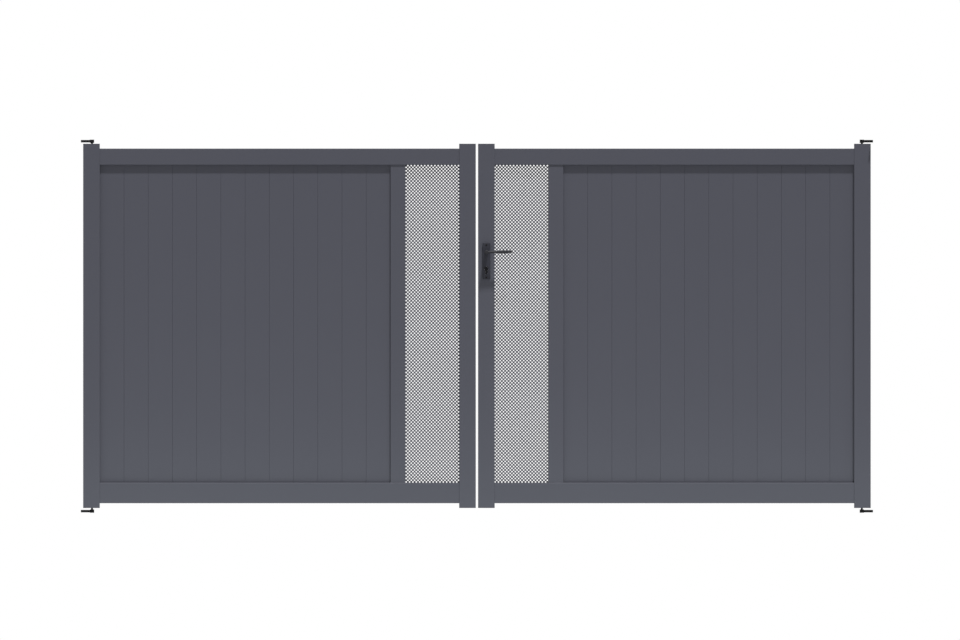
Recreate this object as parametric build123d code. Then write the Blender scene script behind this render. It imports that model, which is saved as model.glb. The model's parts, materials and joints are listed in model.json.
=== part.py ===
from build123d import *
import os

# Double swing gate of powder-coated aluminium extrusions, in millimetres.
# X runs along the closed gate, Y through it away from the street, and Z up.
# The origin is the middle of the lower left bracket's face against its pillar.

# Leaf frame: grooved box extrusions with walls of one thickness
LEAF_HEIGHT = 1600.0
STILE_WIDTH = 73.0
STILE_DEPTH = 50.0
STILE_PROJECTION = 21.0
RAIL_DEPTH = 45.0
TOP_RAIL_HEIGHT = 72.0
BOTTOM_RAIL_HEIGHT = 90.0
MID_STILE_WIDTH = 66.0
MID_STILE_DEPTH = 37.0
FRAME_WALL = 2.2
FRAME_CORNER_RADIUS = 2.5
GROOVE_DEPTH = 12.0
EXPANSION_GAP = 2.0
SEAT_GAP = 0.3

# Upright tongue-and-groove boards, hollow, with bevelled edges
BOARD_COUNT = 12
BOARD_PITCH = 106.4
BOARD_THICKNESS = 17.0
BOARD_WALL = 1.6
BOARD_BEVEL = 0.7
BOARD_GAP = 0.2
BOARD_CHAMBERS = 2
BOARD_CLEARANCE = 0.4
TONGUE_THICKNESS = 5.0
TONGUE_LENGTH = 9.0
TONGUE_CLEARANCE = 0.4

# Perforated sheet beside the meeting stile, held by channels in the rail grooves.
# A coarse grid of openings stands for its thousands of small round holes.
SHEET_WIDTH = 236.0
SHEET_THICKNESS = 2.0
SHEET_CLEARANCE = 0.3
SHEET_COLUMNS = 4
SHEET_ROWS = 11
SHEET_BAR = 29.0
CHANNEL_FLOOR = 2.0
CHANNEL_WALL = 1.6
CHANNEL_CLEARANCE = 0.3

# End caps of the stiles, their corners cut just inside the stiles' rounded ones
CAP_THICKNESS = 4.0
CAP_CORNER_CUT = 1.5
CAP_CLEARANCE = 0.3
PIVOT_PLUG_LENGTH = 44.0
MEETING_PLUG_LENGTH = 16.0
MEETING_PLUG_WALL = 2.5

# Gaps around the leaves
MEETING_GAP = 10.0
PILLAR_GAP = 10.0
TOP_PIVOT_GAP = 5.6
BOTTOM_PIVOT_GAP = 8.4

# Pivot brackets, each forged in one piece with its pin, which stands inside the stile's middle
BRACKET_HEIGHT = 11.0
FLANGE_THICKNESS = 8.0
FLANGE_LENGTH = 112.0
FIXING_SPACING = 84.0
FIXING_RADIUS = 3.3
ARM_ROOT_WIDTH = 56.0
EYE_RADIUS = 9.5
PIVOT_OFFSET = 2.4
PIN_RADIUS = 4.5
PIN_CLEARANCE = 0.05
PIN_ENGAGEMENT = 30.0
BOSS_HEIGHT = 1.5

# Lever lock on the right leaf's meeting stile
LOCK_HEIGHT = 1124.0
PLATE_WIDTH = 34.0
PLATE_THICKNESS = 8.0
PLATE_ABOVE_SPINDLE = 41.0
PLATE_BELOW_SPINDLE = 119.0
PLATE_CORNER_RADIUS = 5.0
PLATE_EDGE_BEVEL = 1.0
CYLINDER_DROP = 72.0
CYLINDER_RADIUS = 8.5
CYLINDER_WEB_WIDTH = 10.0
CYLINDER_HEIGHT = 33.0
CYLINDER_STANDOUT = 3.0
CYLINDER_CLEARANCE = 0.05
KEYWAY_WIDTH = 1.8
KEYWAY_HEIGHT = 8.0
KEYWAY_DEPTH = 24.0

# Lever handles and their square spindle
LEVER_LENGTH = 116.0
LEVER_STANDOFF = 42.0
GRIP_DEPTH = 13.0
GRIP_BEVEL = 1.2
HUB_RADIUS = 9.5
HUB_FILLET = 16.0
WAIST_PLACE = 34.0
WAIST_HEIGHT = 10.0
SWELL_PLACE = 78.0
SWELL_HEIGHT = 13.0
TIP_RADIUS = 4.5
TIP_RISE = 2.0
STEM_RADIUS = 8.5
STEM_CLEARANCE = 0.05
SPINDLE_SIZE = 8.0
SPINDLE_CLEARANCE = 0.1
SPINDLE_ENGAGEMENT = 24.0
SPINDLE_CUT_SIZE = 20.0

# Places along the left leaf, from its pillar
HINGE_STILE_X = PILLAR_GAP + STILE_WIDTH / 2
PIVOT_X = HINGE_STILE_X + PIVOT_OFFSET
BOARDS_START = PILLAR_GAP + STILE_WIDTH
BOARDS_END = BOARDS_START + BOARD_COUNT * BOARD_PITCH
SHEET_START = BOARDS_END + MID_STILE_WIDTH
SHEET_END = SHEET_START + SHEET_WIDTH
LEAF_END = SHEET_END + STILE_WIDTH
OPENING = 2 * LEAF_END + MEETING_GAP
LOCK_X = OPENING - (SHEET_END + STILE_WIDTH / 2)

# Heights from the lower bracket's middle
STILE_BOTTOM = BRACKET_HEIGHT / 2 + BOTTOM_PIVOT_GAP
STILE_TOP = STILE_BOTTOM + LEAF_HEIGHT
TOP_BRACKET_Z = STILE_TOP + TOP_PIVOT_GAP + BRACKET_HEIGHT / 2
BOTTOM_RAIL_BASE = STILE_BOTTOM + STILE_PROJECTION
PANEL_BOTTOM = BOTTOM_RAIL_BASE + BOTTOM_RAIL_HEIGHT
TOP_RAIL_TOP = STILE_TOP - STILE_PROJECTION
PANEL_TOP = TOP_RAIL_TOP - TOP_RAIL_HEIGHT
LOCK_Z = STILE_BOTTOM + LOCK_HEIGHT

# Fits that several pieces share
EDGE_ENGAGEMENT = GROOVE_DEPTH - EXPANSION_GAP
BOARD_GROOVE = BOARD_THICKNESS + 2 * BOARD_CLEARANCE
SHEET_SLOT = SHEET_THICKNESS + 2 * SHEET_CLEARANCE
PLATE_FACE = STILE_DEPTH / 2 + PLATE_THICKNESS

LEFT_SIDE = -1
RIGHT_SIDE = 1


def rectangle_between(x_low, x_high, y_low, y_high):
    """Rectangle in the XY plane given by its sides."""
    middle = Pos((x_low + x_high) / 2, (y_low + y_high) / 2)
    return middle * Rectangle(x_high - x_low, y_high - y_low)


def grooved_section(width, depth, grooves):
    """Hollow box section with a groove sunk into its left or right side.

    grooves holds pairs of a side and a groove width. The walls of a groove are
    as thick as the section's own.
    """
    metal = RectangleRounded(width, depth, FRAME_CORNER_RADIUS)
    hollow = Rectangle(width - 2 * FRAME_WALL, depth - 2 * FRAME_WALL)
    for side, groove_width in grooves:
        edge = side * width / 2
        floor = side * (width / 2 - GROOVE_DEPTH)
        wall = floor - side * FRAME_WALL
        half = groove_width / 2
        near, far = sorted((edge, floor))
        metal -= rectangle_between(near, far, -half, half)
        near, far = sorted((edge, wall))
        hollow -= rectangle_between(near, far, -half - FRAME_WALL, half + FRAME_WALL)
    return metal - hollow


def upright(section, x, z_low, z_high):
    """Extrude a section upwards between two heights."""
    return Pos(x, 0, z_low) * extrude(section, amount=z_high - z_low)


def rail(section, z):
    """Extrude a section along the leaf between its two stiles."""
    across = Plane(origin=(BOARDS_START, 0, z), x_dir=(0, 0, 1), z_dir=(1, 0, 0))
    return extrude(across * section, amount=SHEET_END - BOARDS_START)


def hinge_stile():
    section = grooved_section(STILE_WIDTH, STILE_DEPTH, [(RIGHT_SIDE, BOARD_GROOVE)])
    return upright(section, HINGE_STILE_X, STILE_BOTTOM + CAP_THICKNESS, STILE_TOP - CAP_THICKNESS)


def meeting_stile():
    section = grooved_section(STILE_WIDTH, STILE_DEPTH, [(LEFT_SIDE, SHEET_SLOT)])
    x = SHEET_END + STILE_WIDTH / 2
    return upright(section, x, STILE_BOTTOM + CAP_THICKNESS, STILE_TOP - CAP_THICKNESS)


def mid_stile():
    grooves = [(LEFT_SIDE, BOARD_GROOVE), (RIGHT_SIDE, SHEET_SLOT)]
    section = grooved_section(MID_STILE_WIDTH, MID_STILE_DEPTH, grooves)
    return upright(section, BOARDS_END + MID_STILE_WIDTH / 2, PANEL_BOTTOM, PANEL_TOP)


def top_rail():
    section = grooved_section(TOP_RAIL_HEIGHT, RAIL_DEPTH, [(LEFT_SIDE, BOARD_GROOVE)])
    return rail(section, PANEL_TOP + TOP_RAIL_HEIGHT / 2)


def bottom_rail():
    section = grooved_section(BOTTOM_RAIL_HEIGHT, RAIL_DEPTH, [(RIGHT_SIDE, BOARD_GROOVE)])
    return rail(section, PANEL_BOTTOM - BOTTOM_RAIL_HEIGHT / 2)


def board_section(x_low, x_high, has_groove, has_tongue):
    """Section of one board: bevelled body, chambers, and a joint on each open edge."""
    half = BOARD_THICKNESS / 2
    body = rectangle_between(x_low, x_high, -half, half)
    body = chamfer(body.vertices(), BOARD_BEVEL)
    hollow_low = x_low + BOARD_WALL
    hollow_high = x_high - BOARD_WALL
    if has_tongue:
        tongue = TONGUE_THICKNESS / 2
        body += rectangle_between(hollow_high, x_high + TONGUE_LENGTH, -tongue, tongue)
    if has_groove:
        groove = TONGUE_THICKNESS / 2 + TONGUE_CLEARANCE
        groove_depth = TONGUE_LENGTH - BOARD_GAP + TONGUE_CLEARANCE
        body -= rectangle_between(x_low, x_low + groove_depth, -groove, groove)
        hollow_low += groove_depth
    span = (hollow_high - hollow_low + BOARD_WALL) / BOARD_CHAMBERS
    for index in range(BOARD_CHAMBERS):
        start = hollow_low + index * span
        body -= rectangle_between(start, start + span - BOARD_WALL, BOARD_WALL - half, half - BOARD_WALL)
    return body


def boards():
    """All boards of a leaf, the outer two with plain edges in the stile grooves."""
    solids = []
    z_low = PANEL_BOTTOM - GROOVE_DEPTH + SEAT_GAP
    z_high = PANEL_TOP + EDGE_ENGAGEMENT
    for index in range(BOARD_COUNT):
        is_first = index == 0
        is_last = index == BOARD_COUNT - 1
        x_low = BOARDS_START + index * BOARD_PITCH
        x_high = x_low + BOARD_PITCH
        x_low += -EDGE_ENGAGEMENT if is_first else BOARD_GAP / 2
        x_high += EDGE_ENGAGEMENT if is_last else -BOARD_GAP / 2
        section = board_section(x_low, x_high, not is_first, not is_last)
        solids.append(upright(section, 0, z_low, z_high))
    return solids


def perforated_sheet():
    """The sheet, its edges in the stile slots and the channels, with openings over all that shows of it."""
    z_low = PANEL_BOTTOM - GROOVE_DEPTH + CHANNEL_FLOOR + SEAT_GAP
    z_high = PANEL_TOP + EDGE_ENGAGEMENT - CHANNEL_FLOOR
    outline = rectangle_between(SHEET_START - EDGE_ENGAGEMENT, SHEET_END + EDGE_ENGAGEMENT, z_low, z_high)
    column_pitch = SHEET_WIDTH / SHEET_COLUMNS
    row_pitch = (PANEL_TOP - PANEL_BOTTOM) / SHEET_ROWS
    opening = Rectangle(column_pitch - SHEET_BAR, row_pitch - SHEET_BAR)
    middle = Pos((SHEET_START + SHEET_END) / 2, (PANEL_BOTTOM + PANEL_TOP) / 2)
    places = GridLocations(column_pitch, row_pitch, SHEET_COLUMNS, SHEET_ROWS)
    outline -= [middle * place * opening for place in places]
    return extrude(Plane.XZ * outline, amount=SHEET_THICKNESS / 2, both=True)


def channel_section():
    """Section of a sheet channel lying in a rail groove, its slot opening to +X."""
    half = BOARD_GROOVE / 2 - CHANNEL_CLEARANCE
    slot = SHEET_SLOT / 2
    section = rectangle_between(0, GROOVE_DEPTH, -half, half)
    section -= rectangle_between(CHANNEL_FLOOR, GROOVE_DEPTH, -slot, slot)
    for side in (LEFT_SIDE, RIGHT_SIDE):
        near, far = sorted((side * (slot + CHANNEL_WALL), side * (half - CHANNEL_WALL)))
        section -= rectangle_between(CHANNEL_FLOOR, GROOVE_DEPTH - CHANNEL_WALL, near, far)
    return section


def sheet_channels():
    """Channels that hold the sheet's ends, one in each rail's groove."""
    solids = []
    for floor_z, slot_side in ((PANEL_BOTTOM - GROOVE_DEPTH, 1), (PANEL_TOP + GROOVE_DEPTH, -1)):
        across = Plane(origin=(SHEET_START, 0, floor_z), x_dir=(0, 0, slot_side), z_dir=(1, 0, 0))
        solids.append(extrude(across * channel_section(), amount=SHEET_WIDTH))
    return solids


def cap_blank(groove_side, plug_length):
    """Stile cap with its plate on the XY plane and its plug above it."""
    plate_outline = Rectangle(STILE_WIDTH, STILE_DEPTH)
    plate_outline = chamfer(plate_outline.vertices(), CAP_CORNER_CUT)
    plate = extrude(plate_outline, amount=CAP_THICKNESS)
    plain_side = -groove_side * (STILE_WIDTH / 2 - FRAME_WALL - CAP_CLEARANCE)
    joint_side = groove_side * (STILE_WIDTH / 2 - GROOVE_DEPTH - FRAME_WALL - CAP_CLEARANCE)
    near, far = sorted((plain_side, joint_side))
    half = STILE_DEPTH / 2 - FRAME_WALL - CAP_CLEARANCE
    plug_outline = rectangle_between(near, far, -half, half)
    plug = Pos(0, 0, CAP_THICKNESS) * extrude(plug_outline, amount=plug_length)
    return plate, plug


def pivot_cap():
    """Cap of the hinge stile's lower end, with the blind bore for the pivot pin."""
    plate, plug = cap_blank(RIGHT_SIDE, PIVOT_PLUG_LENGTH)
    bore_outline = Pos(PIVOT_OFFSET, 0) * Circle(PIN_RADIUS + PIN_CLEARANCE)
    bore = extrude(bore_outline, amount=PIN_ENGAGEMENT + SEAT_GAP)
    return Pos(HINGE_STILE_X, 0, STILE_BOTTOM) * (plate + plug - bore)


def meeting_cap():
    """Cap of the meeting stile's lower end, its plug a thin-walled box."""
    plate, plug = cap_blank(LEFT_SIDE, MEETING_PLUG_LENGTH)
    top = plug.faces().sort_by(Axis.Z)[-1]
    box = offset(plug, amount=-MEETING_PLUG_WALL, openings=top)
    return Pos(SHEET_END + STILE_WIDTH / 2, 0, STILE_BOTTOM) * (plate + box)


def bracket(pivot_gap):
    """Lower left pivot bracket: a flange on the pillar, a tapering arm and the leaf's pin."""
    flange = rectangle_between(0, FLANGE_THICKNESS, -FLANGE_LENGTH / 2, FLANGE_LENGTH / 2)
    root = rectangle_between(0, FLANGE_THICKNESS, -ARM_ROOT_WIDTH / 2, ARM_ROOT_WIDTH / 2)
    eye = Pos(PIVOT_X, 0) * Rot(0, 0, 180) * Circle(EYE_RADIUS)
    arm = make_hull(root.edges() + eye.edges())
    solid = Pos(0, 0, -BRACKET_HEIGHT / 2) * extrude(flange + arm, amount=BRACKET_HEIGHT)
    for side in (LEFT_SIDE, RIGHT_SIDE):
        hole_start = Plane(origin=(0, side * FIXING_SPACING / 2, 0), z_dir=(1, 0, 0))
        solid -= extrude(hole_start * Circle(FIXING_RADIUS), amount=FLANGE_THICKNESS)
    return solid + pivot_pin(pivot_gap)


def pivot_pin(pivot_gap):
    """Round parts of a bracket: the boss under its eye and the pin that crosses the gap above it."""
    face = BRACKET_HEIGHT / 2
    pin_top = face + pivot_gap + PIN_ENGAGEMENT
    outline = Polyline(
        (0, -face - BOSS_HEIGHT),
        (EYE_RADIUS, -face - BOSS_HEIGHT),
        (EYE_RADIUS, face),
        (PIN_RADIUS, face),
        (PIN_RADIUS, pin_top),
        (0, pin_top),
        close=True,
    )
    return Pos(PIVOT_X, 0, 0) * revolve(Plane.XZ * make_face(outline), axis=Axis.Z)


def lock_plane(distance):
    """Plane facing the street at a distance in front of the gate's middle, on the spindle axis."""
    return Plane(origin=(LOCK_X, -distance, LOCK_Z), x_dir=(1, 0, 0), z_dir=(0, -1, 0))


def cylinder_profile(clearance):
    """Outline of the lock cylinder: a round barrel with a narrower web under it."""
    half = CYLINDER_WEB_WIDTH / 2 + clearance
    web_end = -(CYLINDER_HEIGHT - CYLINDER_RADIUS - CYLINDER_WEB_WIDTH / 2)
    outline = Circle(CYLINDER_RADIUS + clearance)
    outline += rectangle_between(-half, half, web_end, 0)
    outline += Pos(0, web_end) * Circle(half)
    return Pos(0, -CYLINDER_DROP) * outline


def lock_cuts():
    """Cut-outs for the spindle and the cylinder through both walls of the stile, plain under the plates."""
    side = CYLINDER_RADIUS + CYLINDER_CLEARANCE
    top = side - CYLINDER_DROP
    outline = Rectangle(SPINDLE_CUT_SIZE, SPINDLE_CUT_SIZE)
    outline += rectangle_between(-side, side, top - CYLINDER_HEIGHT - 2 * CYLINDER_CLEARANCE, top)
    return extrude(lock_plane(STILE_DEPTH) * outline, amount=-2 * STILE_DEPTH)


def lock_plate():
    """Street-side lock plate with the lever's bearing hole and the cylinder's cut-out."""
    middle = (PLATE_ABOVE_SPINDLE - PLATE_BELOW_SPINDLE) / 2
    height = PLATE_ABOVE_SPINDLE + PLATE_BELOW_SPINDLE
    outline = Pos(0, middle) * RectangleRounded(PLATE_WIDTH, height, PLATE_CORNER_RADIUS)
    plate = extrude(lock_plane(STILE_DEPTH / 2) * outline, amount=PLATE_THICKNESS)
    front = plate.faces().sort_by(Axis.Y)[0]
    plate = chamfer(front.edges(), PLATE_EDGE_BEVEL)
    holes = Circle(STEM_RADIUS + STEM_CLEARANCE) + cylinder_profile(CYLINDER_CLEARANCE)
    return plate - extrude(lock_plane(STILE_DEPTH / 2) * holes, amount=PLATE_THICKNESS)


def lock_cylinder():
    """Lock cylinder that runs through the stile, with a keyway at each end."""
    reach = PLATE_FACE + CYLINDER_STANDOUT
    body = extrude(lock_plane(reach) * cylinder_profile(0), amount=-2 * reach)
    keyway = Pos(0, -CYLINDER_DROP) * Rectangle(KEYWAY_WIDTH, KEYWAY_HEIGHT)
    body -= extrude(lock_plane(reach) * keyway, amount=-KEYWAY_DEPTH)
    body -= extrude(lock_plane(-reach) * keyway, amount=KEYWAY_DEPTH)
    return body


def grip_outline():
    """Front view of a lever: round hub, slim waist, fuller grip and a tip that rises a little."""
    waist = Pos(WAIST_PLACE, 0) * Circle(WAIST_HEIGHT / 2)
    swell = Pos(SWELL_PLACE, 0) * Circle(SWELL_HEIGHT / 2)
    tip = Pos(LEVER_LENGTH - TIP_RADIUS, TIP_RISE) * Rot(0, 0, 180) * Circle(TIP_RADIUS)
    outline = make_hull(waist.edges() + swell.edges() + tip.edges())
    outline += rectangle_between(0, WAIST_PLACE, -WAIST_HEIGHT / 2, WAIST_HEIGHT / 2)
    outline += Circle(HUB_RADIUS)
    hub_corners = outline.vertices().filter_by_position(Axis.X, 0, WAIST_PLACE / 2)
    return fillet(hub_corners, HUB_FILLET)


def lever():
    """Street-side lever: a stem that turns in the plate, and the grip that stands off from it."""
    grip_back = PLATE_FACE + LEVER_STANDOFF - GRIP_DEPTH / 2
    stem_start = lock_plane(STILE_DEPTH / 2)
    stem = extrude(stem_start * Circle(STEM_RADIUS), amount=grip_back - STILE_DEPTH / 2)
    grip = extrude(lock_plane(grip_back) * grip_outline(), amount=GRIP_DEPTH)
    front = grip.faces().sort_by(Axis.Y)[0]
    grip = chamfer(front.edges(), GRIP_BEVEL)
    socket_side = SPINDLE_SIZE + 2 * SPINDLE_CLEARANCE
    socket = extrude(stem_start * Rectangle(socket_side, socket_side), amount=SPINDLE_ENGAGEMENT + SEAT_GAP)
    return stem + grip - socket


def spindle():
    """Square bar that turns both levers together."""
    reach = STILE_DEPTH / 2 + SPINDLE_ENGAGEMENT
    return extrude(lock_plane(reach) * Rectangle(SPINDLE_SIZE, SPINDLE_SIZE), amount=-2 * reach)


MIDDLE_OF_GATE = Plane.YZ.offset(OPENING / 2)
MIDDLE_OF_LEAF_HEIGHT = Plane.XY.offset((STILE_BOTTOM + STILE_TOP) / 2)
MIDDLE_OF_DEPTH = Plane.XZ


def flipped(pieces, plane):
    """Mirror images of a list of solids."""
    return [mirror(piece, about=plane) for piece in pieces]


def left_leaf():
    """Solids of the left leaf by piece name."""
    lower_meeting_cap = meeting_cap()
    lower_pivot_cap = pivot_cap()
    return {
        "hinge_stile": [hinge_stile()],
        "meeting_stile": [meeting_stile()],
        "mid_stile": [mid_stile()],
        "top_rail": [top_rail()],
        "bottom_rail": [bottom_rail()],
        "boards": boards(),
        "perforated_sheet": [perforated_sheet()],
        "sheet_channels": sheet_channels(),
        "bottom_pivot_cap": [lower_pivot_cap],
        "top_pivot_cap": flipped([lower_pivot_cap], MIDDLE_OF_LEAF_HEIGHT),
        "meeting_caps": [lower_meeting_cap] + flipped([lower_meeting_cap], MIDDLE_OF_LEAF_HEIGHT),
    }


def left_brackets():
    """Solids of the left pillar's brackets by piece name."""
    hanging_bracket = mirror(bracket(TOP_PIVOT_GAP), about=Plane.XY)
    return {
        "bottom_bracket": [bracket(BOTTOM_PIVOT_GAP)],
        "top_bracket": [Pos(0, 0, TOP_BRACKET_Z) * hanging_bracket],
    }


def gate():
    """Every node of the gate with its solids."""
    nodes = {}
    for name, solids in {**left_brackets(), **left_leaf()}.items():
        nodes["left_" + name] = solids
        nodes["right_" + name] = flipped(solids, MIDDLE_OF_GATE)
    nodes["right_meeting_stile"] = [nodes["right_meeting_stile"][0] - lock_cuts()]
    front_plate = lock_plate()
    front_lever = lever()
    nodes["front_lock_plate"] = [front_plate]
    nodes["back_lock_plate"] = flipped([front_plate], MIDDLE_OF_DEPTH)
    nodes["lock_cylinder"] = [lock_cylinder()]
    nodes["front_lever"] = [front_lever]
    nodes["back_lever"] = flipped([front_lever], MIDDLE_OF_DEPTH)
    nodes["lever_spindle"] = [spindle()]
    return nodes


os.makedirs("parts", exist_ok=True)
for node, node_solids in gate().items():
    shape = node_solids[0] if len(node_solids) == 1 else Compound(children=node_solids)
    export_step(shape, "parts/" + node + ".step")
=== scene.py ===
"""Dresses the double swing gate: perforated sheets, pivot collars, lock, finishes, studio and camera."""

import json
import logging
import math
from collections.abc import Iterator
from contextlib import contextmanager
from dataclasses import dataclass, field
from enum import Enum

import bmesh
import bpy
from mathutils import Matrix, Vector


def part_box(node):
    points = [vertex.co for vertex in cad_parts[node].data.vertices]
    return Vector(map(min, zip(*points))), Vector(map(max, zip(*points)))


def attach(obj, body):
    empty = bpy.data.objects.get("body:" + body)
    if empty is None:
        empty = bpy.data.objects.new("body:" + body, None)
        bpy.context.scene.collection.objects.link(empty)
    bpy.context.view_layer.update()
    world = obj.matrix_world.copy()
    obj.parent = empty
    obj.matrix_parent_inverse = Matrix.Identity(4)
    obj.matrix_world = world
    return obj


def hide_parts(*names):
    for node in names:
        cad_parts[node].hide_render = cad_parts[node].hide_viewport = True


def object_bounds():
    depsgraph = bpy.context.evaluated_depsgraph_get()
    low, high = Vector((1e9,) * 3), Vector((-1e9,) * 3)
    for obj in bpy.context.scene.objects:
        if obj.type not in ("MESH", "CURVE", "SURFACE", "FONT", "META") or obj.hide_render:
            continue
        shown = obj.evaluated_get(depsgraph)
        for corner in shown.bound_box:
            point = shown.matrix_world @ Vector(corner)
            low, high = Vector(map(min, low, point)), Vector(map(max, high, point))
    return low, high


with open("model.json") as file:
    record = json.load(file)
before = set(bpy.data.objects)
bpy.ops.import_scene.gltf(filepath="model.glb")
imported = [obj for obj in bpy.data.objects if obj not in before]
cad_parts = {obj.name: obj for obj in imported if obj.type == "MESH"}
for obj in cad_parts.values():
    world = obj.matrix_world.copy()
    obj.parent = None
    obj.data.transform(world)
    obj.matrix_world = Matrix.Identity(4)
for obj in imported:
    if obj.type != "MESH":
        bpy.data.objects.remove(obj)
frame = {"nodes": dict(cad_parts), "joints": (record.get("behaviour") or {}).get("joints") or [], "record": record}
CAD_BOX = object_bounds()

log = logging.getLogger("swing_gate")

Colour = tuple[float, float, float, float]
Settings = dict[str | int, object]
Links = dict[str | int, bpy.types.NodeSocket]
Turn = tuple[float, float, float]


class Side(Enum):
    """The two leaves, by the pillar that carries them."""

    LEFT = "left"
    RIGHT = "right"

    @property
    def body(self) -> str:
        """Name of the body that the leaf's pieces ride on."""
        return f"{self.value}_leaf"


class Level(Enum):
    """The two ends of a hinge stile, with the sign of the way from the bracket there to the leaf along Z."""

    BOTTOM = 1
    TOP = -1

    @property
    def word(self) -> str:
        """Word that stands for the end in a piece's name."""
        return self.name.lower()


class Face(Enum):
    """The two faces of the gate, of which the front one looks at the street, towards -Y."""

    FRONT = "front"
    BACK = "back"


class Slot(Enum):
    """The record's material slots."""

    COATED_ALUMINIUM = "coated_aluminium"
    CAP_NYLON = "cap_nylon"
    BRACKET_STEEL = "bracket_steel"
    SPINDLE_STEEL = "spindle_steel"
    LOCK_FURNITURE = "lock_furniture"
    CYLINDER_BRASS = "cylinder_brass"


class Boolean(Enum):
    """What a second solid does to a piece."""

    ADD = "UNION"
    CUT = "DIFFERENCE"


def mm(value: float) -> float:
    """Millimetres as metres."""
    return value / 1000.0


def grain(size: float) -> float:
    """Noise scale whose features are about this many millimetres across."""
    return 1.0 / mm(size)


# The sRGB standard's curve: a straight toe, and a power above it.
TOE_END = 0.04045
TOE_SLOPE = 12.92
CURVE_SHIFT = 0.055
CURVE_POWER = 2.4

# Octaves of the noise in a finish's cloud and in its grain, and how slowly they fade.
CLOUD_DETAIL = 3.0
CLOUD_FADING = 0.55
GRAIN_DETAIL = 2.0
GRAIN_FADING = 0.6

# Numbers of the mix node's colour sockets, because its sockets for other data have the same names.
MIX_FACTOR = 0
MIX_FIRST = 6
MIX_SECOND = 7
MIX_RESULT = 2

# Turns that leave a primitive's own Z axis upright, or lay it along the gate's X or Y axis.
UPRIGHT = (0.0, 0.0, 0.0)
ALONG_X = (0.0, math.pi / 2, 0.0)
ALONG_Y = (math.pi / 2, 0.0, 0.0)

# In degrees: an edge that turns by less than the first is shaded smooth, and one that turns by more than the
# second is sharp enough to round.
SMOOTH_BELOW = 35.0
SHARP_ABOVE = 60.0

# Points that lie closer together are one point.
MERGE_DISTANCE = mm(0.01)

# Radius of a circle one unit across, to which a scale then gives its real width and height.
UNIT_RADIUS = 0.5

# A face looks at the street where more than this share of its normal points there.
FACING_STREET = 0.9

# Length of a cutter that goes right through a piece, as a multiple of the piece's thickness.
CUTTER_LENGTH = 3.0


def linear(hex_colour: str) -> Colour:
    """Turn an sRGB hex colour into a linear one.

    Args:
        hex_colour: Six hex digits after a hash sign.

    Returns:
        Linear red, green and blue, and an alpha of one.
    """
    channels = [int(hex_colour[start:start + 2], 16) / 255.0 for start in (1, 3, 5)]
    red, green, blue = (
        c / TOE_SLOPE if c <= TOE_END else ((c + CURVE_SHIFT) / (1.0 + CURVE_SHIFT)) ** CURVE_POWER
        for c in channels
    )
    return red, green, blue, 1.0


def add_node(tree: bpy.types.NodeTree, kind: str, settings: Settings, links: Links) -> bpy.types.Node:
    """Add a shader node with its settings and incoming links.

    Args:
        tree: Node tree that gets the node.
        kind: Blender's type name of the node.
        settings: Node properties by name, and input values by the input's name or number.
        links: Output sockets of other nodes, by the name or number of the input that they feed.

    Returns:
        The new node.
    """
    node = tree.nodes.new(kind)
    for key, value in settings.items():
        if isinstance(key, str) and hasattr(node, key):
            setattr(node, key, value)
        else:
            node.inputs[key].default_value = value
    for key, socket in links.items():
        tree.links.new(socket, node.inputs[key])
    return node


@dataclass(frozen=True)
class Finish:
    """A real surface: its colour with a faint cloud, its gloss, and a fine grain in relief.

    Sizes are in millimetres. The stretch is a factor along each axis that draws the pattern out into lines.
    """

    name: str
    colour: str
    cloud_colour: str
    roughness: float
    grain_size: float
    grain_height: float
    cloud_size: float = 260.0
    gloss_spread: float = 0.05
    specular: float = 0.5
    metallic: float = 0.0
    stretch: tuple[float, float, float] = (1.0, 1.0, 1.0)

    def material(self) -> bpy.types.Material:
        """Give the finish's material, which is built on its first use.

        Returns:
            The material, named for the real surface.
        """
        known = bpy.data.materials.get(self.name)
        if known is not None:
            return known
        made = bpy.data.materials.new(self.name)
        made.use_nodes = True
        tree = made.node_tree
        tree.nodes.clear()
        place = add_node(tree, "ShaderNodeTexCoord", {}, {}).outputs["Object"]
        mapping = add_node(tree, "ShaderNodeMapping", {"Scale": self.stretch}, {"Vector": place})
        drawn = mapping.outputs["Vector"]
        cloud = add_node(
            tree,
            "ShaderNodeTexNoise",
            {"Scale": grain(self.cloud_size), "Detail": CLOUD_DETAIL, "Roughness": CLOUD_FADING},
            {"Vector": drawn},
        )
        fine = add_node(
            tree,
            "ShaderNodeTexNoise",
            {"Scale": grain(self.grain_size), "Detail": GRAIN_DETAIL, "Roughness": GRAIN_FADING},
            {"Vector": drawn},
        )
        tint = add_node(
            tree,
            "ShaderNodeMix",
            {"data_type": "RGBA", MIX_FIRST: linear(self.colour), MIX_SECOND: linear(self.cloud_colour)},
            {MIX_FACTOR: cloud.outputs[0]},
        )
        gloss = add_node(
            tree,
            "ShaderNodeMapRange",
            {"To Min": self.roughness - self.gloss_spread, "To Max": self.roughness + self.gloss_spread},
            {"Value": fine.outputs[0]},
        )
        relief = add_node(
            tree,
            "ShaderNodeBump",
            {"Distance": mm(self.grain_height)},
            {"Height": fine.outputs[0]},
        )
        shader = add_node(
            tree,
            "ShaderNodeBsdfPrincipled",
            {"Metallic": self.metallic, "Specular IOR Level": self.specular},
            {
                "Base Color": tint.outputs[MIX_RESULT],
                "Roughness": gloss.outputs["Result"],
                "Normal": relief.outputs["Normal"],
            },
        )
        add_node(tree, "ShaderNodeOutputMaterial", {}, {"Surface": shader.outputs["BSDF"]})
        return made

    def dress(self, piece: bpy.types.Object) -> None:
        """Put the finish on every material slot of a piece.

        Args:
            piece: The mesh object to dress.
        """
        if not piece.material_slots:
            piece.data.materials.append(None)
        for slot in piece.material_slots:
            slot.material = self.material()


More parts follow.
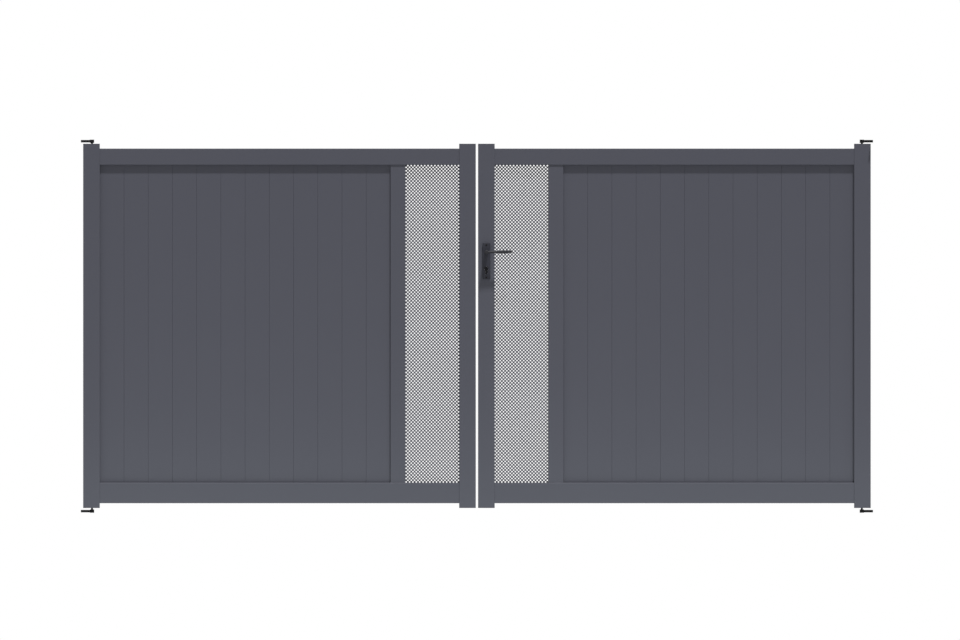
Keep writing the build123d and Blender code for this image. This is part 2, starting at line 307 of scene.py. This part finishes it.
# Polyester powder coat, baked on extruded aluminium: even satin anthracite, with a grain that softens glints.
ANTHRACITE_COAT = Finish(
    name="anthracite_powder_coat",
    colour="#484952",
    cloud_colour="#4A4B54",
    roughness=0.5,
    grain_size=0.8,
    grain_height=0.02,
    specular=0.25,
)

# The same coat on the punched sheet, where hole edges catch more powder and look a little fuller.
SHEET_COAT = Finish(
    name="anthracite_coat_on_punched_sheet",
    colour="#464750",
    cloud_colour="#494A53",
    roughness=0.52,
    grain_size=0.8,
    grain_height=0.03,
    cloud_size=90.0,
    specular=0.25,
)

# Glass-filled nylon, injection moulded in a spark-eroded tool: dull, with a fine even grain.
MOULDED_NYLON = Finish(
    name="moulded_nylon",
    colour="#42434C",
    cloud_colour="#464750",
    roughness=0.62,
    grain_size=0.5,
    grain_height=0.03,
    cloud_size=40.0,
    specular=0.25,
)

# Black powder coat on forged steel: thicker, so its grain is coarser and a soft sheen runs over the edges.
BLACK_COAT = Finish(
    name="black_powder_coat",
    colour="#0C0C0E",
    cloud_colour="#101012",
    roughness=0.46,
    grain_size=1.1,
    grain_height=0.05,
    cloud_size=30.0,
    specular=0.15,
)

# Black satin lacquer on die-cast aluminium: smooth, with the slight orange peel of a sprayed coat.
SATIN_LACQUER = Finish(
    name="black_satin_lacquer",
    colour="#202025",
    cloud_colour="#26262B",
    roughness=0.36,
    grain_size=2.2,
    grain_height=0.03,
    cloud_size=25.0,
    specular=0.25,
)

# The same lacquer on the plates, with a finer tooth, painted a little paler and bluer to lift the shade that the
# lever casts on them.
LEVER_SHADOW_LIFTING_LACQUER = Finish(
    name="black_lacquer_on_blasted_casting",
    colour="#25262F",
    cloud_colour="#2B2C35",
    roughness=0.42,
    grain_size=1.4,
    grain_height=0.04,
    cloud_size=25.0,
    specular=0.25,
)

# Brass dipped in black lacquer over its plating: near black, with a soft sheen on the turned face.
BLACK_PLATE = Finish(
    name="black_plated_brass",
    colour="#09090D",
    cloud_colour="#0D0D11",
    roughness=0.4,
    grain_size=0.6,
    grain_height=0.004,
    cloud_size=8.0,
    specular=0.15,
)

# Steel screws blackened in hot salts: a dull dark metal, a little brown where the oxide is thin.
BLACK_OXIDE = Finish(
    name="black_oxide_steel",
    colour="#1E1D1E",
    cloud_colour="#2A2725",
    roughness=0.42,
    grain_size=0.4,
    grain_height=0.006,
    cloud_size=3.0,
    metallic=1.0,
)

# Cold-drawn square bar: bright steel with fine die lines along its length, which is the Y axis.
DRAWN_STEEL = Finish(
    name="drawn_steel",
    colour="#8E8E90",
    cloud_colour="#A2A2A4",
    roughness=0.34,
    grain_size=0.4,
    grain_height=0.01,
    cloud_size=4.0,
    metallic=1.0,
    stretch=(1.0, 0.03, 1.0),
)

# Seamless studio floor, painted matt: pale, with hardly any mottle.
STUDIO_PAINT = Finish(
    name="pale_studio_paint",
    colour="#CDCDCD",
    cloud_colour="#C9C9CA",
    roughness=0.85,
    grain_size=6.0,
    grain_height=0.05,
    cloud_size=900.0,
)

# Finish of the CAD nodes, by their material slot.
SLOT_FINISHES = {
    Slot.COATED_ALUMINIUM: ANTHRACITE_COAT,
    Slot.CAP_NYLON: MOULDED_NYLON,
    Slot.BRACKET_STEEL: BLACK_COAT,
    Slot.SPINDLE_STEEL: DRAWN_STEEL,
    Slot.LOCK_FURNITURE: SATIN_LACQUER,
    Slot.CYLINDER_BRASS: BLACK_PLATE,
}

# Nodes whose finish differs from the rest of their slot: the lock plates get a lacquer painted paler against the
# lever's shadow.
NODE_FINISHES = {
    "front_lock_plate": LEVER_SHADOW_LIFTING_LACQUER,
    "back_lock_plate": LEVER_SHADOW_LIFTING_LACQUER,
}


def activate(piece: bpy.types.Object) -> None:
    """Select one piece alone and make it the active one.

    Args:
        piece: The object to work on next.
    """
    bpy.ops.object.select_all(action="DESELECT")
    piece.select_set(True)
    bpy.context.view_layer.objects.active = piece


@contextmanager
def editing(piece: bpy.types.Object) -> Iterator[None]:
    """Hold a piece in edit mode, selecting faces.

    Args:
        piece: The mesh object to edit.
    """
    activate(piece)
    bpy.ops.object.mode_set(mode="EDIT")
    bpy.ops.mesh.select_mode(type="FACE")
    yield
    bpy.ops.object.mode_set(mode="OBJECT")


def merge_doubles() -> None:
    """Merge the points that lie on each other, in edit mode."""
    bpy.ops.mesh.select_all(action="SELECT")
    bpy.ops.mesh.remove_doubles(threshold=MERGE_DISTANCE)


def face_outwards() -> None:
    """Turn every face outwards, in edit mode."""
    bpy.ops.mesh.select_all(action="SELECT")
    bpy.ops.mesh.normals_make_consistent(inside=False)


def pick_street_faces(piece: bpy.types.Object) -> None:
    """Select the faces that look at the street, in edit mode.

    Args:
        piece: The mesh object in edit mode.
    """
    bpy.ops.mesh.select_all(action="DESELECT")
    mesh = bmesh.from_edit_mesh(piece.data)
    for face in mesh.faces:
        face.select_set(face.normal.y < -FACING_STREET)
    bmesh.update_edit_mesh(piece.data)


def settle(piece: bpy.types.Object) -> None:
    """Write a piece's place, turn and scale into its mesh."""
    activate(piece)
    bpy.ops.object.transform_apply(location=True, rotation=True, scale=True)


def smooth(piece: bpy.types.Object) -> None:
    """Shade the shallow edges of a piece smooth."""
    activate(piece)
    bpy.ops.object.shade_smooth_by_angle(angle=math.radians(SMOOTH_BELOW))


def clean(piece: bpy.types.Object) -> None:
    """Merge doubles, turn the faces outwards and smooth the shallow edges.

    Args:
        piece: The mesh object to clean.
    """
    with editing(piece):
        merge_doubles()
        face_outwards()
    smooth(piece)


def add_cylinder(sides: int, radius: float, depth: float, middle: Vector, turn: Turn) -> bpy.types.Object:
    """Add a closed cylinder to start a piece from.

    Args:
        sides: Number of flat sides that make its round.
        radius: Its radius.
        depth: Its length.
        middle: Its middle.
        turn: The turn that says how it lies.

    Returns:
        The cylinder, with its place in its mesh.
    """
    bpy.ops.object.select_all(action="DESELECT")
    bpy.ops.mesh.primitive_cylinder_add(
        vertices=sides, radius=radius, depth=depth, location=middle, rotation=turn
    )
    cylinder = bpy.context.active_object
    settle(cylinder)
    return cylinder


def modify(piece: bpy.types.Object, kind: str, **settings: object) -> None:
    """Add a modifier to a piece and apply it.

    Args:
        piece: The mesh object to change.
        kind: Blender's type name of the modifier.
        **settings: The modifier's properties by name.
    """
    modifier = piece.modifiers.new(kind, kind)
    for name, value in settings.items():
        setattr(modifier, name, value)
    activate(piece)
    bpy.ops.object.modifier_apply(modifier=modifier.name)


def combine(piece: bpy.types.Object, tool: bpy.types.Object, operation: Boolean) -> None:
    """Join or cut a piece with a second solid, which is used up."""
    modify(piece, "BOOLEAN", object=tool, operation=operation.value, solver="EXACT")
    bpy.data.objects.remove(tool)


def repeat(piece: bpy.types.Object, count: int, step: Vector) -> None:
    """Repeat a piece in a row.

    Args:
        piece: The mesh object to repeat.
        count: How many there are in the row.
        step: The way from one to the next.
    """
    modify(
        piece,
        "ARRAY",
        count=count,
        use_relative_offset=False,
        use_constant_offset=True,
        constant_offset_displace=step,
    )


def round_edges(piece: bpy.types.Object, radius: float, steps: int) -> None:
    """Round every sharp edge of a piece.

    Args:
        piece: The mesh object to round.
        radius: How far the rounding reaches from the edge.
        steps: Number of flat strips that make the rounding.
    """
    modify(
        piece,
        "BEVEL",
        width=radius,
        segments=steps,
        limit_method="ANGLE",
        angle_limit=math.radians(SHARP_ABOVE),
    )


def round_street_rim(piece: bpy.types.Object, radius: float, steps: int) -> None:
    """Round the rim of the face with which a piece looks at the street.

    Args:
        piece: The mesh object to round.
        radius: How far the rounding reaches from the rim.
        steps: Number of flat strips that make the rounding.
    """
    with editing(piece):
        pick_street_faces(piece)
        bpy.ops.mesh.region_to_loop()
        bpy.ops.mesh.bevel(offset=radius, segments=steps, affect="EDGES")


def copy_of(piece: bpy.types.Object) -> bpy.types.Object:
    """Copy a piece with a mesh of its own.

    Args:
        piece: The mesh object to copy.

    Returns:
        The copy.
    """
    activate(piece)
    bpy.ops.object.duplicate(linked=False)
    return bpy.context.active_object


def on_both_faces(piece: bpy.types.Object) -> list[tuple[Face, bpy.types.Object]]:
    """Copy a piece of the gate's front face to its back face, mirrored about the gate's middle plane.

    Args:
        piece: The mesh object on the front face.

    Returns:
        The front piece and its twin, each with its face.
    """
    twin = copy_of(piece)
    twin.scale.y = -1.0
    settle(twin)
    with editing(twin):
        face_outwards()
    return [(Face.FRONT, piece), (Face.BACK, twin)]


def place(piece: bpy.types.Object, name: str, body: str, slot: Slot, finish: Finish) -> None:
    """Name and dress a finished piece, and hand it to the body that carries it.

    Args:
        piece: The finished mesh object.
        name: Name of the piece.
        body: Name of the CAD body that it rides on.
        slot: The material slot that its finish belongs to; not used.
        finish: Its surface.
    """
    piece.name = name
    piece.data.name = name
    finish.dress(piece)
    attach(piece, body)
    piece.data.calc_loop_triangles()
    log.info("%s rides on %s, %d triangles", name, body, len(piece.data.loop_triangles))


@dataclass
class PerforatedSheet:
    """Sheet with staggered round holes, cut from stock, so that its edges run through holes.

    The shifts go from the middle of the sheet to the nearest hole.
    """

    side: Side
    shift_along: float
    shift_up: float = mm(-2.8)
    pitch_along: float = mm(14.81)
    pitch_up: float = mm(15.018)
    staggered_rows: int = 2
    hole_radius: float = mm(3.6)
    hole_sides: int = 12
    diamond_sides: int = 4

    @property
    def node(self) -> str:
        """Name of the CAD sheet, with coarse openings, that this one stands for."""
        return f"{self.side.value}_perforated_sheet"

    def cell(self, middle: Vector) -> bpy.types.Object:
        """Model one hole in its diamond of sheet, a flat ring of few faces.

        Args:
            middle: Middle of the hole.

        Returns:
            The ring, which lies in the plane of the gate.
        """
        bpy.ops.object.select_all(action="DESELECT")
        bpy.ops.mesh.primitive_circle_add(
            vertices=self.diamond_sides, radius=UNIT_RADIUS, location=middle, rotation=ALONG_Y
        )
        ring = bpy.context.active_object
        ring.scale = (self.pitch_along, self.pitch_up, 1.0)
        settle(ring)
        with editing(ring):
            bpy.ops.mesh.primitive_circle_add(
                vertices=self.hole_sides, radius=self.hole_radius, location=middle, rotation=ALONG_Y
            )
            bpy.ops.mesh.select_all(action="SELECT")
            bpy.ops.mesh.bridge_edge_loops()
            bpy.ops.mesh.normals_make_consistent(inside=False)
        return ring

    def trim(self, sheet: bpy.types.Object, low: Vector, high: Vector) -> None:
        """Join the cells and cut them off at the blank's four edges.

        Args:
            sheet: The repeated cells.
            low: The blank's lowest corner.
            high: The blank's highest corner.
        """
        with editing(sheet):
            merge_doubles()
            for corner, outwards in ((low, -1.0), (high, 1.0)):
                for normal in (Vector((outwards, 0.0, 0.0)), Vector((0.0, 0.0, outwards))):
                    bpy.ops.mesh.select_all(action="SELECT")
                    bpy.ops.mesh.bisect(plane_co=corner, plane_no=normal, clear_outer=True)
            face_outwards()

    def build(self) -> None:
        """Repeat the cell over the sheet, trim it to the blank and give it its thickness."""
        low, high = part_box(self.node)
        nearest = (low + high) / 2 + Vector((self.shift_along, 0.0, self.shift_up))
        before_along = math.ceil((nearest.x - low.x) / self.pitch_along)
        before_up = math.ceil((nearest.z - low.z) / self.pitch_up)
        after_along = math.ceil((high.x - nearest.x) / self.pitch_along)
        after_up = math.ceil((high.z - nearest.z) / self.pitch_up)
        first = nearest - Vector((before_along * self.pitch_along, 0.0, before_up * self.pitch_up))
        stagger = Vector((self.pitch_along, 0.0, self.pitch_up)) / self.staggered_rows
        sheet = self.cell(first)
        repeat(sheet, self.staggered_rows, stagger)
        repeat(sheet, before_along + 1 + after_along, Vector((self.pitch_along, 0.0, 0.0)))
        repeat(sheet, before_up + 1 + after_up, Vector((0.0, 0.0, self.pitch_up)))
        self.trim(sheet, low, high)
        modify(sheet, "SOLIDIFY", thickness=high.y - low.y, offset=0.0)
        smooth(sheet)
        name = f"{self.side.value}_perforated_panel"
        place(sheet, name, self.side.body, Slot.COATED_ALUMINIUM, SHEET_COAT)
        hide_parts(self.node)


@dataclass
class PivotCollars:
    """Collars turned on the pivot pins, each standing on its bracket's arm and facing the leaf's cap.

    The bracket's height goes from the end of its boss to the face of its arm that carries the pin.
    """

    radius: float = mm(9.3)
    bore_radius: float = mm(4.6)
    height: float = mm(2.0)
    sides: int = 40
    rounding: float = mm(0.4)
    rounding_steps: int = 3
    bracket_height: float = mm(12.5)

    def middle(self, side: Side, level: Level) -> Vector:
        """Find the middle of a collar from its bracket and from its leaf's axis.

        Args:
            side: The leaf that the pin carries.
            level: The end of the hinge stile.

        Returns:
            The collar's middle.
        """
        along, through, _ = next(
            joint["pos_m"] for joint in frame["joints"] if joint["name"] == f"{side.body}_swing"
        )
        low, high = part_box(f"{side.value}_{level.word}_bracket")
        boss_end = low.z if level is Level.BOTTOM else high.z
        return Vector((along, through, boss_end + level.value * (self.bracket_height + self.height / 2)))

    def collar(self, middle: Vector) -> bpy.types.Object:
        """Model one collar, a flat ring with rounded rims.

        Args:
            middle: The collar's middle.

        Returns:
            The ring.
        """
        ring = add_cylinder(self.sides, self.radius, self.height, middle, UPRIGHT)
        bore = add_cylinder(self.sides, self.bore_radius, CUTTER_LENGTH * self.height, middle, UPRIGHT)
        combine(ring, bore, Boolean.CUT)
        round_edges(ring, self.rounding, self.rounding_steps)
        clean(ring)
        return ring

    def build(self) -> None:
        """Model one collar and copy it to every other bracket."""
        seats = [(side, level) for side in Side for level in Level]
        start = self.middle(*seats[0])
        pattern = self.collar(start)
        rings = [pattern]
        for side, level in seats[1:]:
            ring = copy_of(pattern)
            ring.location = self.middle(side, level) - start
            settle(ring)
            rings.append(ring)
        for (side, level), ring in zip(seats, rings):
            name = f"{side.value}_{level.word}_pivot_collar"
            place(ring, name, "pillar_brackets", Slot.BRACKET_STEEL, BLACK_COAT)


@dataclass
class LockSet:
    """Lever pair, plate screws and key plugs on the right leaf's meeting stile.

    Distances along are from the spindle's axis towards the lever's tip, and the screws' places and the
    cylinder's drop are heights from that axis. Screws and plugs are sunk a little into what carries them.
    """

    lever_length: float = mm(116.0)
    grip_depth: float = mm(13.0)
    grip_tip_depth: float = mm(10.5)
    grip_rounding: float = mm(3.6)
    grip_rounding_steps: int = 4
    grip_stations: int = 14
    hub_radius: float = mm(9.5)
    hub_rounding: float = mm(2.5)
    hub_rounding_steps: int = 4
    waist_along: float = mm(34.0)
    waist_height: float = mm(10.5)
    swell_along: float = mm(78.0)
    swell_height: float = mm(13.5)
    tip_height: float = mm(9.5)
    tip_rise: float = mm(2.0)
    stem_radius: float = mm(8.5)
    stem_sides: int = 40
    stem_insertion: float = mm(5.0)
    screw_radius: float = mm(3.6)
    screw_sides: int = 24
    screw_height: float = mm(1.6)
    screw_sunk: float = mm(0.4)
    screw_rounding: float = mm(0.8)
    screw_rounding_steps: int = 3
    socket_radius: float = mm(1.7)
    socket_sides: int = 6
    socket_depth: float = mm(0.8)
    upper_screw: float = mm(31.0)
    lower_screw: float = mm(-111.5)
    plug_radius: float = mm(6.4)
    plug_sides: int = 32
    plug_height: float = mm(0.9)
    plug_sunk: float = mm(0.225)
    plug_rounding: float = mm(0.3)
    plug_rounding_steps: int = 2
    keyway_width: float = mm(1.8)
    keyway_height: float = mm(8.0)
    cylinder_drop: float = mm(72.0)
    axis: Vector = field(init=False)
    plate_front: float = field(init=False)
    cylinder_front: float = field(init=False)
    grip_front: float = field(init=False)

    def __post_init__(self) -> None:
        """Read the lock's places from the frame."""
        low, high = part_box("lever_spindle")
        self.axis = (low + high) / 2
        self.plate_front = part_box("front_lock_plate")[0].y
        self.cylinder_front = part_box("lock_cylinder")[0].y
        self.grip_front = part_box("front_lever")[0].y

    def height_at(self, along: float) -> float:
        """Height of the grip at a distance from the spindle: slim waist, fuller middle, lower tip.

        Args:
            along: Distance from the spindle's axis.

        Returns:
            The grip's height there.
        """
        if along <= self.waist_along:
            return self.waist_height
        if along <= self.swell_along:
            share = (along - self.waist_along) / (self.swell_along - self.waist_along)
            rise = (1.0 - math.cos(math.pi * share)) / 2
            return self.waist_height + rise * (self.swell_height - self.waist_height)
        share = (along - self.swell_along) / (self.lever_length - self.swell_along)
        fall = 1.0 - math.cos(math.pi * share / 2)
        return self.swell_height + fall * (self.tip_height - self.swell_height)

    def depth_at(self, along: float) -> float:
        """Depth of the grip at a distance from the spindle, which falls evenly towards the tip."""
        return self.grip_depth + (self.grip_tip_depth - self.grip_depth) * along / self.lever_length

    def rise_at(self, along: float) -> float:
        """Rise of the grip's middle at a distance from the spindle, in a curve that steepens to the tip."""
        return self.tip_rise * (along / self.lever_length) ** 2

    def grip(self) -> bpy.types.Object:
        """Model the grip, drawn out from the hub through its stations, with rounded edges.

        Returns:
            The grip, as a closed bar.
        """
        middle = Vector((self.axis.x, self.grip_front + self.grip_depth / 2, self.axis.z))
        bpy.ops.object.select_all(action="DESELECT")
        bpy.ops.mesh.primitive_plane_add(size=1.0, location=middle, rotation=ALONG_X)
        bar = bpy.context.active_object
        bar.scale = (self.height_at(0.0), self.depth_at(0.0), 1.0)
        settle(bar)
        step = self.lever_length / self.grip_stations
        with editing(bar):
            bpy.ops.mesh.select_all(action="SELECT")
            for station in range(self.grip_stations):
                along = station * step
                ahead = along + step
                way = Vector((step, 0.0, self.rise_at(ahead) - self.rise_at(along)))
                bpy.ops.mesh.extrude_region_move(TRANSFORM_OT_translate={"value": tuple(way)})
                middle += way
                taller = self.height_at(ahead) / self.height_at(along)
                deeper = self.depth_at(ahead) / self.depth_at(along)
                bpy.ops.transform.resize(value=(1.0, deeper, taller), center_override=middle)
        clean(bar)
        round_edges(bar, self.grip_rounding, self.grip_rounding_steps)
        return bar

    def stem(self) -> bpy.types.Object:
        """Model the round stem, which starts in the plate's bearing hole and widens to the hub.

        Returns:
            The stem with the hub.
        """
        start = self.plate_front + self.stem_insertion
        shoulder = self.grip_front + self.grip_depth
        middle = Vector((self.axis.x, (start + shoulder) / 2, self.axis.z))
        stem = add_cylinder(self.stem_sides, self.stem_radius, start - shoulder, middle, ALONG_Y)
        wider = self.hub_radius / self.stem_radius
        with editing(stem):
            pick_street_faces(stem)
            bpy.ops.mesh.extrude_region_move(TRANSFORM_OT_translate={"value": (0.0, 0.0, 0.0)})
            bpy.ops.transform.resize(
                value=(wider, 1.0, wider), center_override=(self.axis.x, shoulder, self.axis.z)
            )
            bpy.ops.mesh.extrude_region_move(TRANSFORM_OT_translate={"value": (0.0, -self.grip_depth, 0.0)})
        round_street_rim(stem, self.hub_rounding, self.hub_rounding_steps)
        return stem

    def levers(self) -> None:
        """Build the front lever and its twin on the back face."""
        lever = self.stem()
        combine(lever, self.grip(), Boolean.ADD)
        clean(lever)
        for face, piece in on_both_faces(lever):
            place(piece, f"{face.value}_lever_handle", "lever_set", Slot.LOCK_FURNITURE, SATIN_LACQUER)
            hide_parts(f"{face.value}_lever")

    def screw(self, height: float) -> bpy.types.Object:
        """Model a low round screw head with a six-sided socket.

        Args:
            height: Height of the screw from the spindle's axis.

        Returns:
            The screw head on the front plate.
        """
        proud = self.screw_height - self.screw_sunk
        outer = Vector((self.axis.x, self.plate_front - proud, self.axis.z + height))
        middle = outer + Vector((0.0, self.screw_height / 2, 0.0))
        head = add_cylinder(self.screw_sides, self.screw_radius, self.screw_height, middle, ALONG_Y)
        round_street_rim(head, self.screw_rounding, self.screw_rounding_steps)
        # The cutter's middle lies on the head's outer face, so only half of its length cuts.
        socket = add_cylinder(self.socket_sides, self.socket_radius, 2 * self.socket_depth, outer, ALONG_Y)
        combine(head, socket, Boolean.CUT)
        return head

    def screws(self) -> None:
        """Build the two screws of the front plate, and those of the back plate."""
        pair = self.screw(self.upper_screw)
        lower = copy_of(pair)
        lower.location.z = self.lower_screw - self.upper_screw
        settle(lower)
        activate(pair)
        lower.select_set(True)
        bpy.ops.object.join()
        clean(pair)
        for face, piece in on_both_faces(pair):
            place(piece, f"{face.value}_plate_screws", Side.RIGHT.body, Slot.SPINDLE_STEEL, BLACK_OXIDE)

    def key_plugs(self) -> None:
        """Build the round plug with its keyway on each end of the lock cylinder."""
        through = self.cylinder_front + self.plug_sunk - self.plug_height / 2
        middle = Vector((self.axis.x, through, self.axis.z - self.cylinder_drop))
        plug = add_cylinder(self.plug_sides, self.plug_radius, self.plug_height, middle, ALONG_Y)
        round_street_rim(plug, self.plug_rounding, self.plug_rounding_steps)
        bpy.ops.object.select_all(action="DESELECT")
        bpy.ops.mesh.primitive_cube_add(size=1.0, location=middle)
        keyway = bpy.context.active_object
        keyway.scale = (self.keyway_width, CUTTER_LENGTH * self.plug_height, self.keyway_height)
        settle(keyway)
        combine(plug, keyway, Boolean.CUT)
        clean(plug)
        for face, piece in on_both_faces(plug):
            place(piece, f"{face.value}_key_plug", Side.RIGHT.body, Slot.CYLINDER_BRASS, BLACK_PLATE)

    def build(self) -> None:
        """Build every piece of the lock."""
        self.levers()
        self.screws()
        self.key_plugs()


@dataclass
class Studio:
    """Pale floor, a soft sun over the right shoulder, an even sky and a low fill lamp before the gate.

    Sizes are in metres, the sun's spread is in degrees, and a backdrop strength of one is white.
    """

    floor_gap: float = mm(45.0)
    floor_size: float = 40.0
    towards_sun: tuple[float, float, float] = (0.45, -1.0, 2.85)
    sun_strength: float = 4.13
    sun_spread: float = 4.0
    sky_colour: str = "#FFFFFF"
    sky_strength: float = 0.25
    backdrop_strength: float = 1.0
    fill_length: float = 4.4
    fill_depth: float = 0.55
    fill_start: float = 0.05
    fill_height: float = mm(2.0)
    fill_power: float = 7.0
    fill_colour: str = "#F0FFEE"

    def floor(self) -> None:
        """Lay the floor a little under the leaves."""
        level = CAD_BOX[0].z - self.floor_gap
        middle = (CAD_BOX[0] + CAD_BOX[1]) / 2
        bpy.ops.object.select_all(action="DESELECT")
        bpy.ops.mesh.primitive_plane_add(size=self.floor_size, location=(middle.x, middle.y, level))
        ground = bpy.context.active_object
        settle(ground)
        ground.name = "studio_floor"
        STUDIO_PAINT.dress(ground)

    def sun(self) -> None:
        """Hang the sun, whose spread softens the shadows' edges."""
        bpy.ops.object.light_add(type="SUN", location=self.towards_sun)
        lamp = bpy.context.active_object
        lamp.name = "sun"
        lamp.rotation_euler = Vector(self.towards_sun).to_track_quat("Z", "Y").to_euler()
        lamp.data.energy = self.sun_strength
        lamp.data.angle = math.radians(self.sun_spread)

    def fill(self) -> None:
        """Lay the fill lamp on the floor in front of the gate, shining upwards, out of sight."""
        low, high = CAD_BOX
        along = (low.x + high.x) / 2
        before = self.fill_start + self.fill_depth / 2
        level = low.z - self.floor_gap + self.fill_height
        upwards = (math.pi, 0.0, 0.0)
        bpy.ops.object.light_add(type="AREA", location=(along, -before, level), rotation=upwards)
        lamp = bpy.context.active_object
        lamp.name = "fill"
        lamp.data.shape = "RECTANGLE"
        lamp.data.size = self.fill_length
        lamp.data.size_y = self.fill_depth
        lamp.data.energy = self.fill_power
        lamp.data.color = linear(self.fill_colour)[:3]
        lamp.visible_camera = False
        lamp.visible_glossy = False

    def sky(self) -> None:
        """Light the scene evenly, with a white background for the camera, gloss and glass."""
        world = bpy.data.worlds.new("studio_sky")
        bpy.context.scene.world = world
        world.use_nodes = True
        tree = world.node_tree
        tree.nodes.clear()
        rays = add_node(tree, "ShaderNodeLightPath", {}, {})
        clear = add_node(
            tree,
            "ShaderNodeMath",
            {"operation": "MAXIMUM"},
            {0: rays.outputs["Is Glossy Ray"], 1: rays.outputs["Is Transmission Ray"]},
        )
        seen = add_node(
            tree,
            "ShaderNodeMath",
            {"operation": "MAXIMUM"},
            {0: rays.outputs["Is Camera Ray"], 1: clear.outputs[0]},
        )
        strength = add_node(
            tree,
            "ShaderNodeMapRange",
            {"To Min": self.sky_strength, "To Max": self.backdrop_strength},
            {"Value": seen.outputs[0]},
        )
        light = add_node(
            tree,
            "ShaderNodeBackground",
            {"Color": linear(self.sky_colour)},
            {"Strength": strength.outputs["Result"]},
        )
        add_node(tree, "ShaderNodeOutputWorld", {}, {"Surface": light.outputs["Background"]})

    def build(self) -> None:
        """Set up floor and light, and show colours as they are."""
        self.floor()
        self.sun()
        self.fill()
        self.sky()
        bpy.context.scene.view_settings.view_transform = "Standard"


@dataclass
class FrontCamera:
    """Straight front elevation, framed as the photograph is.

    Rows and columns are in the photograph's pixels. A stile with its caps is stile_rows of them tall.
    """

    photo_width: float = 960.0
    photo_height: float = 640.0
    stile_rows: float = 364.23
    middle_column: float = 476.93
    stile_middle_row: float = 325.87
    distance: float = 12.0
    farthest: float = 120.0

    def build(self) -> None:
        """Make the camera and give it to the scene."""
        low, high = CAD_BOX
        caps_low, caps_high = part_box("left_meeting_caps")
        pixel = (caps_high.z - caps_low.z) / self.stile_rows
        aim_x = (low.x + high.x) / 2 + (self.photo_width / 2 - self.middle_column) * pixel
        aim_z = (caps_low.z + caps_high.z) / 2 - (self.photo_height / 2 - self.stile_middle_row) * pixel
        bpy.ops.object.camera_add(location=(aim_x, -self.distance, aim_z), rotation=ALONG_Y)
        camera = bpy.context.active_object
        camera.name = "front_camera"
        camera.data.type = "ORTHO"
        camera.data.ortho_scale = self.photo_width * pixel
        camera.data.clip_end = self.farthest
        bpy.context.scene.camera = camera


def dress_nodes() -> None:
    """Give every CAD node its own finish, or that of its material slot."""
    for row in frame["record"]["subparts"]:
        finish = NODE_FINISHES.get(row["node"], SLOT_FINISHES[Slot(row["material_slot"])])
        finish.dress(frame["nodes"][row["node"]])
        log.info("%s wears %s", row["node"], finish.name)


def main() -> None:
    """Build the gate's pieces in order, then the studio and the camera."""
    logging.basicConfig(level=logging.INFO, format="%(message)s")
    dress_nodes()
    PerforatedSheet(Side.LEFT, shift_along=mm(3.8)).build()
    PerforatedSheet(Side.RIGHT, shift_along=mm(2.2)).build()
    PivotCollars().build()
    LockSet().build()
    Studio().build()
    FrontCamera().build()


if __name__ == "__main__":
    main()
